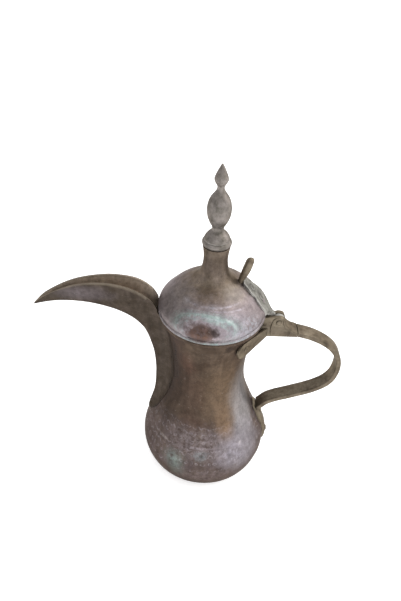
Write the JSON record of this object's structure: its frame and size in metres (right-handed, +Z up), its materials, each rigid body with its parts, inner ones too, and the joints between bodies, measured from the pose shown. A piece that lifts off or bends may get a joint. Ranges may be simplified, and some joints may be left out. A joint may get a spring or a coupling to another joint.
{
  "type": "dallah coffee pot",
  "caption": "Waisted coffee pot with a long open beak spout, a hinged domed lid with a tall turned finial, and a riveted strap handle.",
  "frame": {"origin": "centre of the flat base, on the table", "axes": "+Z up along the pot's axis, spout towards -X, handle and hinge towards +X"},
  "size_m": [0.2588, 0.1144, 0.3],
  "materials": {
    "patinated_copper": "aged, dark brown patina, burnished by handling",
    "handle_brass": "cast and hammered, dull olive patina",
    "cast_strap": "cast, worn tinning, matt grey"
  },
  "bodies": {
    "pot": {"body_shell": "patinated_copper", "base_plate": "patinated_copper", "mouth_ring": "patinated_copper", "spout": "patinated_copper", "handle_bracket": "handle_brass", "handle_strap": "handle_brass", "handle_leaf": "handle_brass", "leaf_rivets": "handle_brass", "clasp_near": "handle_brass", "clasp_far": "handle_brass", "clasp_rivets": "handle_brass", "hinge_pin": "handle_brass"},
    "lid": {"lid_dome": "patinated_copper", "lid_bead": "patinated_copper", "lid_seat": "patinated_copper", "lid_neck": "patinated_copper", "collar_ring": "patinated_copper", "finial": "patinated_copper", "finial_tang": "handle_brass", "tang_washer": "handle_brass", "hinge_strap": "cast_strap", "strap_rivets": "cast_strap", "thumb_lever": "handle_brass"}
  },
  "joints": [
    {"name": "lid_hinge", "type": "hinge", "parent": "pot", "child": "lid", "pos_m": [0.055, 0, 0.167], "axis": [0, 1, 0], "range_deg": [0, 110]}
  ]
}
